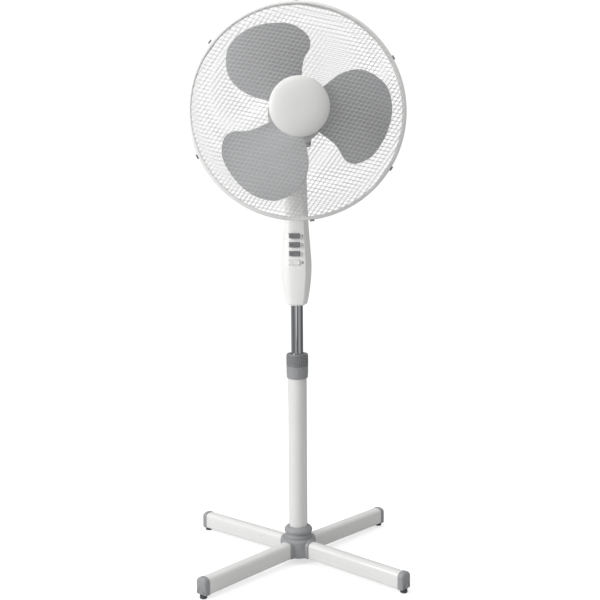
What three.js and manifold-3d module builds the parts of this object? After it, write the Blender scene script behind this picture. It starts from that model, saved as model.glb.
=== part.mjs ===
// Pedestal fan: cross base, telescopic mast, control housing, tilting and oscillating head.
// Units are millimetres. +Z is up, the front faces -Y, and the origin is on the floor
// at the mast's axis. The head is built upright in its own group, with its origin on the
// tilt bolt, and the group is then tilted back by headTilt.
import * as THREE from 'three';
import { mergeVertices } from 'three/addons/utils/BufferGeometryUtils.js';
import Module from 'manifold-3d';

const wasm = await Module();
wasm.setup();

// ---- driving dimensions ----
const gap = 0.3; // clearance between pieces that touch
const wall = 2.4; // moulded wall thickness

const legDirections = { front_left: 225, front_right: 315, rear_right: 45, rear_left: 135 };
const leg = { width: 26, height: 34, crown: 10, sheet: 1.5, underside: 8, rise: 4, start: 14, end: 273 };
const cap = { length: 13, round: 3, plug: 12, grow: 1, underside: 7.3 };
const pad = { radius: 7.5, reach: 279, thickness: 6.7 };
const hub = { bottom: 12, top: 75, socketFloor: 50 };
const legScrew = { reach: 23.5, radius: 2, headRadius: 4, top: 53 };

const outerTube = { radius: 19.5, sheet: 1.4, bottom: 50.6, top: 405 };
const innerTube = { radius: 12.5, sheet: 1.2, bottom: 236, top: 622 };
const collar = { radius: 22.4, bottom: 395, split: 421, top: 447, lip: 443.2 };

const housing = { bottom: 552, top: 866, slab: 4, widest: 634, halfWidth: 31, depthRatio: 0.95 };
const housingTaper = { above: 11.2, below: 9.5, power: 1.15 };
const button = { width: 23, height: 10, centreX: -6, topZ: 695, pitch: 18.2, faceY: -31.2 };
const buttonNames = ['button_speed_3', 'button_speed_2', 'button_speed_1', 'button_off'];

const tiltBoltZ = 884;
const headTilt = 5.85; // degrees, front up
const shaftRise = 52; // shaft axis above the tilt bolt
const tongue = { halfWidth: 12, radius: 10 };
const boltRadius = 3;
const swingPinY = 22; // oscillation pin, behind the tilt bolt

const motor = { radius: 44, front: -20, floor: 17.2 };
const guard = { radius: 215, wire: 3, rimWire: 3, rearRimY: -77.3, frontRimY: -84.8 };
const spokes = { count: 14, firstAngle: 7.9 }; // no spoke falls behind a clip
const clipAngles = [28.7, 90, 141.5, 204, 277, 328.3]; // around the rim, from +X towards +Z
const blade = { count: 3, middleY: -80, helix: 30, thickness: 2.2, middleAngle: -2 };

// ---- materials ----
const finish = (color, roughness, metalness = 0) =>
  new THREE.MeshStandardMaterial({ color, roughness, metalness });
const whitePlastic = finish(0xf1f1ef, 0.4);
const whiteEnamel = finish(0xf4f4f2, 0.3);
const greyPlastic = finish(0x9c9d9e, 0.5);
const darkGreyPlastic = finish(0x77787a, 0.5);
const bladePlastic = finish(0x8f9092, 0.35);
const chrome = finish(0xc8cacc, 0.12, 1);
const steel = finish(0x9a9c9f, 0.35, 1);
const wireEnamel = finish(0xf2f2f0, 0.35);
const rubber = finish(0x3c3c3d, 0.85);
const copper = finish(0xa8663a, 0.4, 1);
const nylon = finish(0xdedcd4, 0.55);

// ---- geometry helpers ----

// Merge shared corners, drop slivers with no area and turn every face outwards.
function closedGeometry(geometry) {
  const loose = geometry.index ? geometry.toNonIndexed() : geometry.clone();
  loose.deleteAttribute('normal');
  loose.deleteAttribute('uv');
  const rounded = loose.attributes.position.array.map((value) => Math.round(value * 1e4) / 1e4);
  loose.setAttribute('position', new THREE.BufferAttribute(new Float32Array(rounded), 3));
  const merged = mergeVertices(loose, 1e-4);
  const index = merged.index.array;
  const points = merged.attributes.position;
  const kept = [];
  let volume = 0;
  const [a, b, c] = [new THREE.Vector3(), new THREE.Vector3(), new THREE.Vector3()];
  for (let i = 0; i < index.length; i += 3) {
    const [ia, ib, ic] = [index[i], index[i + 1], index[i + 2]];
    if (ia === ib || ib === ic || ic === ia) continue;
    a.fromBufferAttribute(points, ia);
    b.fromBufferAttribute(points, ib);
    c.fromBufferAttribute(points, ic);
    volume += a.dot(b.cross(c)) / 6;
    kept.push(ia, ib, ic);
  }
  if (volume < 0) kept.reverse();
  merged.setIndex(kept);
  return merged;
}

// A closed geometry as a solid that can be joined and cut.
function solid(geometry) {
  const closed = closedGeometry(geometry);
  return new wasm.Manifold(new wasm.Mesh({
    numProp: 3,
    vertProperties: new Float32Array(closed.attributes.position.array),
    triVerts: new Uint32Array(closed.index.array),
  }));
}

// A solid back as a geometry.
function surface(body) {
  const mesh = body.getMesh();
  const geometry = new THREE.BufferGeometry();
  geometry.setAttribute('position', new THREE.BufferAttribute(mesh.vertProperties, 3));
  geometry.setIndex(new THREE.BufferAttribute(mesh.triVerts, 1));
  return geometry;
}

// Add one named piece to a group, from a solid or from a plain geometry.
function piece(group, name, shape, material) {
  const geometry = shape.isBufferGeometry ? closedGeometry(shape) : surface(shape);
  geometry.computeVertexNormals();
  const mesh = new THREE.Mesh(geometry, material.clone());
  mesh.name = name;
  group.add(mesh);
  return mesh;
}

// A turned shape about Y. The profile lists [radius, height]; it starts and ends on the
// axis, or it is a ring's section, which is closed here.
function turnedY(profile, segments = 24) {
  const points = profile.map(([radius, height]) => new THREE.Vector2(radius, height));
  const onAxis = profile[0][0] === 0 && profile.at(-1)[0] === 0;
  if (!onAxis) points.push(points[0].clone());
  return new THREE.LatheGeometry(points, segments);
}

// The same about Z.
const turnedZ = (profile, segments) => turnedY(profile, segments).rotateX(Math.PI / 2);

const cylinderX = (radius, from, to, y, z, segments = 16) =>
  new THREE.CylinderGeometry(radius, radius, to - from, segments)
    .rotateZ(Math.PI / 2)
    .translate((from + to) / 2, y, z);

const cylinderY = (radius, from, to, x, z, segments = 16) =>
  new THREE.CylinderGeometry(radius, radius, to - from, segments)
    .translate(x, (from + to) / 2, z);

const cylinderZ = (radius, from, to, x, y, segments = 16) =>
  new THREE.CylinderGeometry(radius, radius, to - from, segments)
    .rotateX(Math.PI / 2)
    .translate(x, y, (from + to) / 2);

// A block from its lowest to its highest corner.
function block(low, high) {
  const size = high.map((value, axis) => value - low[axis]);
  const centre = high.map((value, axis) => (value + low[axis]) / 2);
  return new THREE.BoxGeometry(...size).translate(...centre);
}

// Turns an outline drawn across (u) and up (v), extruded along s, so that s runs along +X.
const alongX = new THREE.Matrix4().makeBasis(
  new THREE.Vector3(0, 1, 0),
  new THREE.Vector3(0, 0, 1),
  new THREE.Vector3(1, 0, 0),
);

// ---- base ----

// Each leg rises a little towards the hub.
const legSlope = new THREE.Matrix4().set(
  1, 0, 0, 0,
  0, 1, 0, 0,
  -leg.rise / leg.end, 0, 1, leg.rise,
  0, 0, 0, 1,
);

// A leg's section: flat underside, upright sides and a half-ellipse crown.
function legSection(halfWidth, bottom, height, crown) {
  const shape = new THREE.Shape();
  shape.moveTo(-halfWidth, bottom);
  shape.lineTo(halfWidth, bottom);
  shape.lineTo(halfWidth, bottom + height - crown);
  shape.absellipse(0, bottom + height - crown, halfWidth, crown, 0, Math.PI, false);
  shape.closePath();
  return shape;
}

function legPrism(section, from, to, bevel = 0) {
  return new THREE.ExtrudeGeometry(section, {
    depth: to - from - 2 * bevel,
    curveSegments: 4,
    bevelEnabled: bevel > 0,
    bevelThickness: bevel,
    bevelSize: bevel,
    bevelOffset: -bevel,
    bevelSegments: 1,
  }).translate(0, 0, from + bevel).applyMatrix4(alongX).applyMatrix4(legSlope);
}

const legOutline = (grow) =>
  legSection(leg.width / 2 + grow, leg.underside - grow, leg.height + 2 * grow, leg.crown + grow);

// Steel leg tube, open at both ends, drilled for its screw.
function legTube() {
  const skin = solid(legPrism(legOutline(0), leg.start, leg.end));
  const core = solid(legPrism(legOutline(-leg.sheet), leg.start - 1, leg.end + 1));
  const drill = solid(cylinderZ(legScrew.radius + gap, 0, hub.socketFloor, legScrew.reach, 0, 8));
  return skin.subtract(core).subtract(drill);
}

// End cap: rounded nose outside the tube and a plug inside it.
function legCap() {
  const nose = legSection(
    leg.width / 2 + cap.grow,
    cap.underside,
    leg.underside - cap.underside + leg.height + cap.grow,
    leg.crown + cap.grow,
  );
  const start = leg.end + gap;
  const head = solid(legPrism(nose, start, start + cap.length, cap.round));
  const plug = solid(legPrism(legOutline(-leg.sheet - gap), leg.end - cap.plug, start + cap.length / 2));
  return head.add(plug);
}

// Moulded hub: two rounded flanges over a column, with a socket for the mast tube and a
// slot for each leg.
function hubBody() {
  const profile = [
    [0, hub.bottom], [37, hub.bottom], [37, 48.5], [35, 50.5], [28.4, 51.2], [28.6, 56],
    [26.6, 58.2], [26.6, 61], [29.4, 62.6], [29.4, 68], [26.5, 72.6], [23, hub.top], [0, hub.top],
  ];
  let body = solid(turnedZ(profile, 28));
  const tubeBore = cylinderZ(outerTube.radius + gap, hub.socketFloor, hub.top + 1, 0, 0, 24);
  body = body.subtract(solid(tubeBore));
  for (const degrees of Object.values(legDirections)) {
    const turn = THREE.MathUtils.degToRad(degrees);
    const slot = legPrism(
      legSection(leg.width / 2 + gap, 0, leg.underside + leg.height + gap, leg.crown + gap),
      leg.start - gap,
      hub.top,
    );
    const drill = cylinderZ(legScrew.radius + gap, 20, legScrew.top + 0.5, legScrew.reach, 0);
    body = body.subtract(solid(slot.rotateZ(turn))).subtract(solid(drill.rotateZ(turn)));
  }
  return body;
}

function addBase(group) {
  piece(group, 'base_hub', hubBody(), greyPlastic);
  const [tube, end] = [legTube(), legCap()];
  for (const [place, degrees] of Object.entries(legDirections)) {
    const arm = new THREE.Group();
    arm.rotation.z = THREE.MathUtils.degToRad(degrees);
    group.add(arm);
    piece(arm, `leg_${place}`, tube, whiteEnamel);
    piece(arm, `leg_cap_${place}`, end, greyPlastic);
    piece(arm, `foot_pad_${place}`, cylinderZ(pad.radius, 0, pad.thickness, pad.reach, 0), rubber);
    const slant = leg.rise * (1 - (legScrew.reach + legScrew.headRadius) / leg.end);
    const under = leg.underside + slant - gap;
    const screw = turnedZ([
      [0, under - 2.2], [legScrew.headRadius, under - 2.2], [legScrew.headRadius, under],
      [legScrew.radius, under], [legScrew.radius, legScrew.top], [0, legScrew.top],
    ], 12).translate(legScrew.reach, 0, 0);
    piece(arm, `leg_screw_${place}`, screw, steel);
  }
}

// ---- mast ----

// A plain round tube along Z.
function tubeZ({ radius, sheet, bottom, top }) {
  const bore = radius - sheet;
  return turnedZ([[bore, bottom], [radius, bottom], [radius, top], [bore, top]], 24);
}

function addMast(group) {
  piece(group, 'outer_tube', tubeZ(outerTube), whiteEnamel);

  const overTube = outerTube.radius + gap;
  const insideTube = outerTube.radius - 2.4;
  const sleeve = turnedZ([
    [overTube, collar.bottom], [collar.radius - 1, collar.bottom],
    [collar.radius, collar.bottom + 3], [collar.radius, collar.split],
    [overTube + 0.2, collar.split], [overTube + 0.2, collar.lip - 4],
    [insideTube, collar.lip - 4], [insideTube, outerTube.top + gap],
    [overTube, outerTube.top + gap],
  ]);
  piece(group, 'collar_sleeve', sleeve, greyPlastic);

  const nutBore = overTube + 0.6;
  const nutLip = innerTube.radius + 0.7;
  const nut = turnedZ([
    [nutBore, collar.split + gap], [collar.radius + 0.4, collar.split + gap],
    [collar.radius + 0.4, collar.top - 3], [collar.radius - 1.5, collar.top],
    [nutLip, collar.top], [nutLip, collar.lip], [nutBore, collar.lip],
  ]);
  piece(group, 'clamp_nut', nut, darkGreyPlastic);

  const bushRing = turnedZ([
    [innerTube.radius + gap, outerTube.top + 2], [insideTube - gap, outerTube.top + 2],
    [insideTube - gap, collar.lip - 1], [innerTube.radius + gap, collar.lip - 1],
  ]);
  const slit = block([0, -1, outerTube.top - 1], [collar.radius, 1, collar.top]);
  piece(group, 'clamp_bush', solid(bushRing).subtract(solid(slit)), nylon);

  piece(group, 'inner_tube', tubeZ(innerTube), chrome);

  const glide = outerTube.radius - outerTube.sheet - gap;
  const spigot = innerTube.radius - innerTube.sheet - gap;
  const foot = innerTube.bottom - gap;
  const plug = turnedZ([
    [0, foot - 12], [glide, foot - 12], [glide, foot], [spigot, foot],
    [spigot, foot + 12], [0, foot + 12],
  ], 16);
  piece(group, 'mast_end_plug', plug, nylon);
}

// ---- control housing ----

// Half the housing's width at a height: widest at the keys, tapering to the neck above
// and to the mast below.
function housingHalfWidth(z) {
  const { bottom, top, widest, halfWidth } = housing;
  if (z > widest) {
    return halfWidth - housingTaper.above * ((z - widest) / (top - widest)) ** housingTaper.power;
  }
  return halfWidth - housingTaper.below * ((widest - z) / (widest - bottom)) ** 2;
}

const housingDepth = (z) => housingHalfWidth(z) * housing.depthRatio;

// The housing's body between two heights: a squarish oval section scaled by the width.
function housingLoft(from, to, inset) {
  const oval = [];
  const corners = 20;
  const squareness = 2 / 3;
  for (let i = 0; i < corners; i += 1) {
    const turn = (2 * Math.PI * (i + 0.5)) / corners;
    const round = (value) => Math.sign(value) * Math.abs(value) ** squareness;
    oval.push(new THREE.Vector2(round(Math.cos(turn)), round(Math.sin(turn))));
  }
  const geometry = new THREE.ExtrudeGeometry(new THREE.Shape(oval), {
    depth: to - from,
    steps: 7,
    bevelEnabled: false,
  }).translate(0, 0, from);
  const points = geometry.attributes.position;
  for (let i = 0; i < points.count; i += 1) {
    const z = points.getZ(i);
    points.setX(i, points.getX(i) * (housingHalfWidth(z) - inset));
    points.setY(i, points.getY(i) * (housingDepth(z) - inset));
  }
  return solid(geometry);
}

const keyHeights = buttonNames.map((name, row) => button.topZ - row * button.pitch);
const shellScrewHeights = [735, 828];
const mastScrewZ = 585;
const glandZ = 618;
const shellScrew = { radius: 1.6, headRadius: 3.2, tip: -8 };

// Hollow housing with a sleeve that holds the mast's inner tube.
function housingShell() {
  const { bottom, top, slab } = housing;
  const outside = housingLoft(bottom, top, 0);
  const inside = housingLoft(bottom + wall, top - slab, wall);
  const sleeve = solid(cylinderZ(innerTube.radius + 3, bottom + 1, 600, 0, 0));
  const bore = solid(cylinderZ(innerTube.radius + gap, bottom - 1, 620, 0, 0, 24));
  return outside.subtract(inside).add(sleeve).subtract(bore);
}

const seam = 4; // the two shells meet on a plane this far behind the mast axis

function frontShell(shell) {
  const reach = 60;
  const half = block(
    [-reach, -reach, housing.bottom - 1],
    [reach, seam - gap / 2, housing.top - housing.slab - gap],
  );
  let body = shell.intersect(solid(half));
  for (const z of shellScrewHeights) {
    const boss = solid(cylinderY(4, 1 - housingDepth(z), seam - 1, 0, z, 12));
    body = body.add(boss);
    body = body.subtract(solid(cylinderY(shellScrew.radius + gap, -10, seam, 0, z, 12)));
  }
  for (const z of keyHeights) {
    const [width, height] = [button.width / 2 + gap, button.height / 2 + gap];
    body = body.subtract(solid(block(
      [button.centreX - width, -50, z - height],
      [button.centreX + width, -12, z + height],
    )));
  }
  return body;
}

// Rear shell with the neck's top and the tongue that the tilt bolt passes through.
function rearShell(shell) {
  const reach = 60;
  const half = block([-reach, seam + gap / 2, housing.bottom - 1], [reach, reach, housing.top + 1]);
  const slabBottom = housing.top - housing.slab;
  let body = shell.intersect(solid(half)).add(housingLoft(slabBottom, housing.top, 0));
  const { halfWidth, radius } = tongue;
  const upright = block([-halfWidth, -radius, slabBottom + 1], [halfWidth, radius, tiltBoltZ]);
  body = body.add(solid(upright));
  body = body.add(solid(cylinderX(radius, -halfWidth, halfWidth, 0, tiltBoltZ)));
  body = body.subtract(solid(cylinderX(boltRadius + gap, -40, 40, 0, tiltBoltZ)));
  for (const z of shellScrewHeights) {
    const face = housingDepth(z);
    body = body.subtract(solid(cylinderY(shellScrew.radius + gap, seam + 1, 40, 0, z, 12)));
    body = body.subtract(solid(cylinderY(shellScrew.headRadius + gap, face - 1.3, 40, 0, z, 12)));
  }
  body = body.subtract(solid(cylinderY(2.3, 10, 40, 0, mastScrewZ, 12)));
  return body.subtract(solid(cylinderY(5, 20, 40, 0, glandZ, 16)));
}

// A key: rounded cap with a flange behind the housing wall that stops it falling out.
function buttonBody(z) {
  const halfWidth = button.width / 2;
  const halfHeight = button.height / 2;
  const corner = 2;
  const face = new THREE.Shape();
  face.moveTo(-halfWidth + corner, -halfHeight);
  face.absarc(halfWidth - corner, -halfHeight + corner, corner, -Math.PI / 2, 0, false);
  face.absarc(halfWidth - corner, halfHeight - corner, corner, 0, Math.PI / 2, false);
  face.absarc(-halfWidth + corner, halfHeight - corner, corner, Math.PI / 2, Math.PI, false);
  face.absarc(-halfWidth + corner, -halfHeight + corner, corner, Math.PI, 1.5 * Math.PI, false);
  const round = 1;
  const depth = 12;
  const key = new THREE.ExtrudeGeometry(face, {
    depth: depth - round,
    curveSegments: 2,
    bevelThickness: round,
    bevelSize: round,
    bevelOffset: -round,
    bevelSegments: 1,
  }).rotateX(Math.PI / 2).translate(button.centreX, button.faceY + depth, z);
  const back = -17;
  const flange = block(
    [button.centreX - halfWidth - 1.5, back - 2.5, z - halfHeight - 1.5],
    [button.centreX + halfWidth + 1.5, back, z + halfHeight + 1.5],
  );
  return solid(key).add(solid(flange));
}

function addHousing(group) {
  const shell = housingShell();
  piece(group, 'housing_front', frontShell(shell), whitePlastic);
  piece(group, 'housing_rear', rearShell(shell), whitePlastic);
  piece(group, 'switch_block', block([-20, -13, 632], [17, 12, 708]), darkGreyPlastic);
  buttonNames.forEach((name, row) => {
    const material = name === 'button_off' ? whitePlastic : darkGreyPlastic;
    piece(group, name, buttonBody(keyHeights[row]), material);
  });
  shellScrewHeights.forEach((z, i) => {
    const face = housingDepth(z);
    const { radius, headRadius, tip } = shellScrew;
    const screw = turnedY([
      [0, tip], [radius, tip], [radius, face - 1], [headRadius, face - 1],
      [headRadius, face], [0, face],
    ], 12).translate(0, 0, z);
    piece(group, `shell_screw_${i + 1}`, screw, steel);
  });
  const rear = housingDepth(mastScrewZ) + gap;
  const mastScrew = turnedY([
    [0, innerTube.radius + gap], [2, innerTube.radius + gap], [2, rear], [4, rear],
    [4, rear + 2], [2.5, rear + 3], [0, rear + 3],
  ], 12).translate(0, 0, mastScrewZ);
  piece(group, 'mast_screw', mastScrew, steel);
  const back = housingDepth(glandZ);
  const [inner, outer] = [back - wall - 1.4, back + 0.8]; // its two flanges grip the wall
  const gland = turnedY([
    [2.8, inner - 3], [6.2, inner - 3], [6.2, inner], [4.6, inner],
    [4.6, outer], [7, outer], [6, outer + 3.5], [2.8, outer + 3.5],
  ], 12).translate(0, 0, glandZ);
  piece(group, 'cord_gland', gland, darkGreyPlastic);
}

// ---- head: everything from here is placed from the tilt bolt ----

const plate = { bottom: 10.6, top: 16.8, radius: 30, centreY: 12 };

// Yoke that straddles the neck's tongue, with the plate and pin the motor swings on.
function tiltBracketBody() {
  const radius = 11;
  const inner = tongue.halfWidth + gap;
  let body = solid(cylinderZ(plate.radius, plate.bottom, plate.top, 0, plate.centreY, 28));
  for (const side of [-1, 1]) {
    const [from, to] = [inner * side, 20 * side].sort((low, high) => low - high);
    body = body.add(solid(block([from, -radius, 0], [to, radius, plate.bottom + 1])));
    body = body.add(solid(cylinderX(radius, from, to, 0, 0)));
  }
  body = body.subtract(solid(cylinderX(boltRadius + gap, -30, 30, 0, 0)));
  return body.add(solid(cylinderZ(5, plate.top - 1, 36, 0, swingPinY)));
}

function addTiltJoint(group) {
  piece(group, 'tilt_bracket', tiltBracketBody(), whitePlastic);
  const knob = turnedY([
    [0, -26], [boltRadius, -26], [boltRadius, 20 + gap], [8, 20 + gap],
    [9, 23], [9, 28], [7, 31], [0, 31],
  ], 20).rotateZ(-Math.PI / 2);
  piece(group, 'tilt_knob', knob, greyPlastic);
  const hexagon = solid(cylinderX(6, -24.5, -20 - gap, 0, 0, 6));
  const nut = hexagon.subtract(solid(cylinderX(boltRadius + gap, -30, -10, 0, 0, 12)));
  piece(group, 'tilt_nut', nut, steel);
}

// Motor pieces are turned about the shaft, which runs along Y through the group's origin.
const motorFloor = motor.floor - shaftRise;

function motorRearCover() {
  const { radius, front } = motor;
  const outline = (inset) => [
    [0, inset ? front - 5 : front], [radius - inset, inset ? front - 5 : front],
    [radius - inset, 24], [40 - inset, 43 - inset / 2], [28 - inset, 58 - inset],
    [0, 66 - inset],
  ];
  const reach = 80;
  const above = (floor) => solid(block([-reach, -reach, floor], [reach, reach, reach]));
  const outside = solid(turnedY(outline(0), 28)).intersect(above(motorFloor));
  const inside = solid(turnedY(outline(wall), 28)).intersect(above(motorFloor + wall));
  let body = outside.subtract(inside);
  body = body.subtract(solid(cylinderZ(7, motorFloor - 1, motorFloor + 5, 0, swingPinY)));
  body = body.subtract(solid(cylinderZ(3.5, 30, 50, 0, swingKnobY, 12)));
  for (const x of [-10, 0, 10]) {
    body = body.subtract(solid(block([x - 1.5, 50, -12], [x + 1.5, 70, 12])));
  }
  return body;
}

const swingKnobY = 34;
const shaft = { radius: 4, front: -118, rear: 46 };

function motorFrontCover() {
  const { radius, front } = motor;
  const back = front - gap;
  return turnedY([
    [shaft.radius + 1, -47], [16, -47], [16, -34], [39, -34], [radius, -30], [radius, back],
    [radius - wall, back], [radius - wall, -31.6], [shaft.radius + 1, -31.6],
  ], 28);
}

function gearboxBody() {
  const floor = 24 - shaftRise;
  let body = solid(block([-15, 12, floor], [15, 44, 10]));
  body = body.subtract(solid(cylinderY(shaft.radius + 0.4, 0, 60, 0, 0)));
  body = body.subtract(solid(cylinderZ(5.2, floor - 1, 37 - shaftRise, 0, swingPinY)));
  return body.subtract(solid(cylinderZ(3.3, 6.4, 12, 0, swingKnobY, 12)));
}

function addMotor(group) {
  piece(group, 'motor_rear_cover', motorRearCover(), whitePlastic);
  piece(group, 'motor_front_cover', motorFrontCover(), whitePlastic);
  piece(group, 'motor_stator', turnedY([[20.3, -16], [32, -16], [32, 8], [20.3, 8]]), copper);
  piece(group, 'gearbox', gearboxBody(), darkGreyPlastic);
  const swingKnob = turnedY([
    [0, 14.5], [3, 14.5], [3, 52.5], [7, 52.5], [7, 60], [5.5, 62], [0, 62],
  ], 16).rotateX(Math.PI / 2).translate(0, swingKnobY, 0);
  piece(group, 'oscillation_knob', swingKnob, greyPlastic);
}

// ---- rotor ----

// One blade's outline, seen from the front, as [radius, degrees from +X towards +Z].
const bladeOutline = [
  [28, 40], [68, 41], [113, 38.5], [150, 30], [178, 15.5], [184.5, 2], [181, -12],
  [172, -29], [155, -41], [134, -45.4], [101, -41], [62, -42], [28, -44],
];

// A blade lies on a helix: it comes forward in step with the angle around the shaft.
function bladeBody(turn) {
  const corners = bladeOutline.map(([radius, degrees]) => {
    const angle = THREE.MathUtils.degToRad(degrees);
    return new THREE.Vector2(radius * Math.cos(angle), radius * Math.sin(angle));
  });
  const edge = new THREE.SplineCurve(corners).getPoints(24);
  const geometry = new THREE.ExtrudeGeometry(new THREE.Shape(edge), {
    depth: blade.thickness,
    bevelEnabled: false,
  }).rotateX(Math.PI / 2);
  const points = geometry.attributes.position;
  const middle = THREE.MathUtils.degToRad(blade.middleAngle);
  for (let i = 0; i < points.count; i += 1) {
    const angle = Math.atan2(points.getZ(i), points.getX(i));
    points.setY(i, points.getY(i) + blade.middleY - blade.helix * (angle - middle));
  }
  return solid(geometry.rotateY(turn));
}

function fanBlade() {
  let body = solid(turnedY([
    [4.3, -108], [20, -108], [30, -101], [30, -54], [27, -54], [27, -99], [19, -104],
    [9, -104], [9, -60], [4.3, -60],
  ], 20));
  for (let i = 0; i < blade.count; i += 1) {
    body = body.add(bladeBody((2 * Math.PI * i) / blade.count));
  }
  return body;
}

function addRotor(group) {
  const { radius, front, rear } = shaft;
  piece(group, 'motor_rotor', turnedY([[4.3, -14], [19.7, -14], [19.7, 6], [4.3, 6]]), steel);
  const rod = turnedY([[0, front], [radius, front], [radius, rear], [0, rear]], 16);
  piece(group, 'motor_shaft', rod, steel);
  piece(group, 'fan_blade', fanBlade(), bladePlastic);
  const spinner = turnedY([
    [0, -121], [10, -121], [17, -116], [19, -108.3], [4.4, -108.3], [4.4, -118.3], [0, -118.3],
  ], 20);
  piece(group, 'spinner_nut', spinner, greyPlastic);
}

// ---- guards ----

const rearGuardSide = [[56, -35.6], [100, -38.5], [140, -44], [185, -56.5]];
const frontGuardSide = [[55, -140.7], [100, -138], [140, -131.5], [185, -114]];

// One wire cage: spokes along the side profile, a hoop, the rim and a centre plate.
function guardBody(side, rimY, plateProfile) {
  const rimRadius = guard.radius - guard.rimWire;
  const run = [...side, [rimRadius, rimY]];
  const half = guard.wire / 2;
  const outline = [
    ...run.map(([radius, y]) => new THREE.Vector2(radius, y - half)),
    ...run.toReversed().map(([radius, y]) => new THREE.Vector2(radius, y + half)),
  ];
  const ringTurn = THREE.MathUtils.degToRad(180 / (2 * spokes.count) - spokes.firstAngle);
  const ring = (profile, segments) => solid(turnedY(profile, segments).rotateY(ringTurn));
  let body = ring(plateProfile, 2 * spokes.count);
  const hoop = (radius, y, size, corners, segments) => {
    const section = [];
    for (let i = 0; i < corners; i += 1) {
      const turn = (2 * Math.PI * i) / corners;
      section.push([radius + size * Math.cos(turn), y + size * Math.sin(turn)]);
    }
    return ring(section, segments);
  };
  for (let i = 0; i < spokes.count; i += 1) {
    const degrees = spokes.firstAngle + (360 * i) / spokes.count;
    const spoke = new THREE.ExtrudeGeometry(new THREE.Shape(outline), {
      depth: guard.wire,
      bevelEnabled: false,
    }).translate(0, 0, -half);
    body = body.add(solid(spoke.rotateY(-THREE.MathUtils.degToRad(degrees))));
  }
  body = body.add(hoop(...side[2], 1.8, 4, 2 * spokes.count));
  return body.add(hoop(rimRadius, rimY, guard.rimWire, 4, 4 * spokes.count));
}

// A clip hinges on the front rim's wire and hooks behind the rear one.
function clipBody() {
  const rim = guard.radius - guard.rimWire;
  const [inside, outside] = [rim - 1.5, rim + 6.3];
  const [back, front] = [guard.rearRimY + 3.8, guard.frontRimY - 3.5];
  const lip = 2.3;
  const outline = [
    [inside, front - lip], [outside, front - lip], [outside, back + lip], [inside, back + lip],
    [inside, back], [outside - 2.6, back], [outside - 2.6, front], [inside, front],
  ].map(([radius, y]) => new THREE.Vector2(radius, y));
  const width = 11;
  return new THREE.ExtrudeGeometry(new THREE.Shape(outline), {
    depth: width,
    bevelEnabled: false,
  }).translate(0, 0, -width / 2);
}

function addGuards(group) {
  const rearPlate = [[16.6, -36.8], [58, -36.8], [58, -34.3], [16.6, -34.3]];
  piece(group, 'rear_guard', guardBody(rearGuardSide, guard.rearRimY, rearPlate), wireEnamel);
  const nut = turnedY([
    [16.4, -45.5], [31, -45.5], [34, -43], [34, -37.1], [16.4, -37.1],
  ]);
  piece(group, 'rear_guard_nut', nut, greyPlastic);
  const frontPlate = [[0, -142], [57, -142], [57, -139.5], [0, -139.5]];
  piece(group, 'front_guard', guardBody(frontGuardSide, guard.frontRimY, frontPlate), wireEnamel);
  const dome = turnedY([
    [0, -157], [28, -156], [50, -152], [58.5, -145], [58.5, -142.4],
    [56.3, -142.4], [56.3, -144], [49, -149.8], [28, -153.8], [0, -154.8],
  ], 32);
  piece(group, 'front_cap', dome, whitePlastic);
  clipAngles.forEach((degrees, i) => {
    const clip = piece(group, `guard_clip_${i + 1}`, clipBody(), greyPlastic);
    clip.rotation.y = -THREE.MathUtils.degToRad(degrees);
  });
}

// ---- assembly ----

const fan = new THREE.Group();
addBase(fan);
addMast(fan);
addHousing(fan);

const head = new THREE.Group();
head.position.z = tiltBoltZ;
head.rotation.x = -THREE.MathUtils.degToRad(headTilt);
fan.add(head);
addTiltJoint(head);

const shaftGroup = new THREE.Group();
shaftGroup.position.z = shaftRise;
head.add(shaftGroup);
addMotor(shaftGroup);
addRotor(shaftGroup);
addGuards(shaftGroup);

export default fan;
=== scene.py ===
import math

import bmesh
import bpy
import numpy as np
from mathutils import Matrix


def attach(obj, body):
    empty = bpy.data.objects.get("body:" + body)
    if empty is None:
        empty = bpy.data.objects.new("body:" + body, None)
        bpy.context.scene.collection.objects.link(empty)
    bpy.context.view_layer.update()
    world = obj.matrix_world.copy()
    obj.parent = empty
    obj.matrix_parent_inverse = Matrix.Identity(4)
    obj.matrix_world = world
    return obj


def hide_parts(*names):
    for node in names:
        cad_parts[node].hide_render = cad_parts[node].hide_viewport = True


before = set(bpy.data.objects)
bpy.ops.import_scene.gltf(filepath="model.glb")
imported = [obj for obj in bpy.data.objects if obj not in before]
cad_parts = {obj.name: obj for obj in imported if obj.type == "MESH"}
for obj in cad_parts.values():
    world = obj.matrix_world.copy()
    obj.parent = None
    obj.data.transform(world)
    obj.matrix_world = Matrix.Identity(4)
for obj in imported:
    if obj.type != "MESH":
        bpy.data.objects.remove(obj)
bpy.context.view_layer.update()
print("frame loaded,", len(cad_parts), "nodes")

millimetre = 0.001
fullTurn = 2 * math.pi

# Nodes and colours.


def toLinear(code):
    # each channel c of an sRGB hex colour becomes ((c + 0.055) / 1.055) ^ 2.4, or c / 12.92 when dark
    channels = [int(code[i:i + 2], 16) / 255 for i in (0, 2, 4)]
    return tuple(c / 12.92 if c <= 0.04045 else ((c + 0.055) / 1.055) ** 2.4 for c in channels) + (1.0,)


def addNode(tree, kind, inputs=None, **settings):
    made = tree.nodes.new(kind)
    for key, value in settings.items():
        setattr(made, key, value)
    for key, value in (inputs or {}).items():
        if isinstance(value, bpy.types.NodeSocket):
            tree.links.new(value, made.inputs[key])
        else:
            made.inputs[key].default_value = value
    return made


def newFinish(name):
    material = bpy.data.materials.new(name)
    material.use_nodes = True
    tree = material.node_tree
    return material, tree, tree.nodes["Principled BSDF"]


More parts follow.
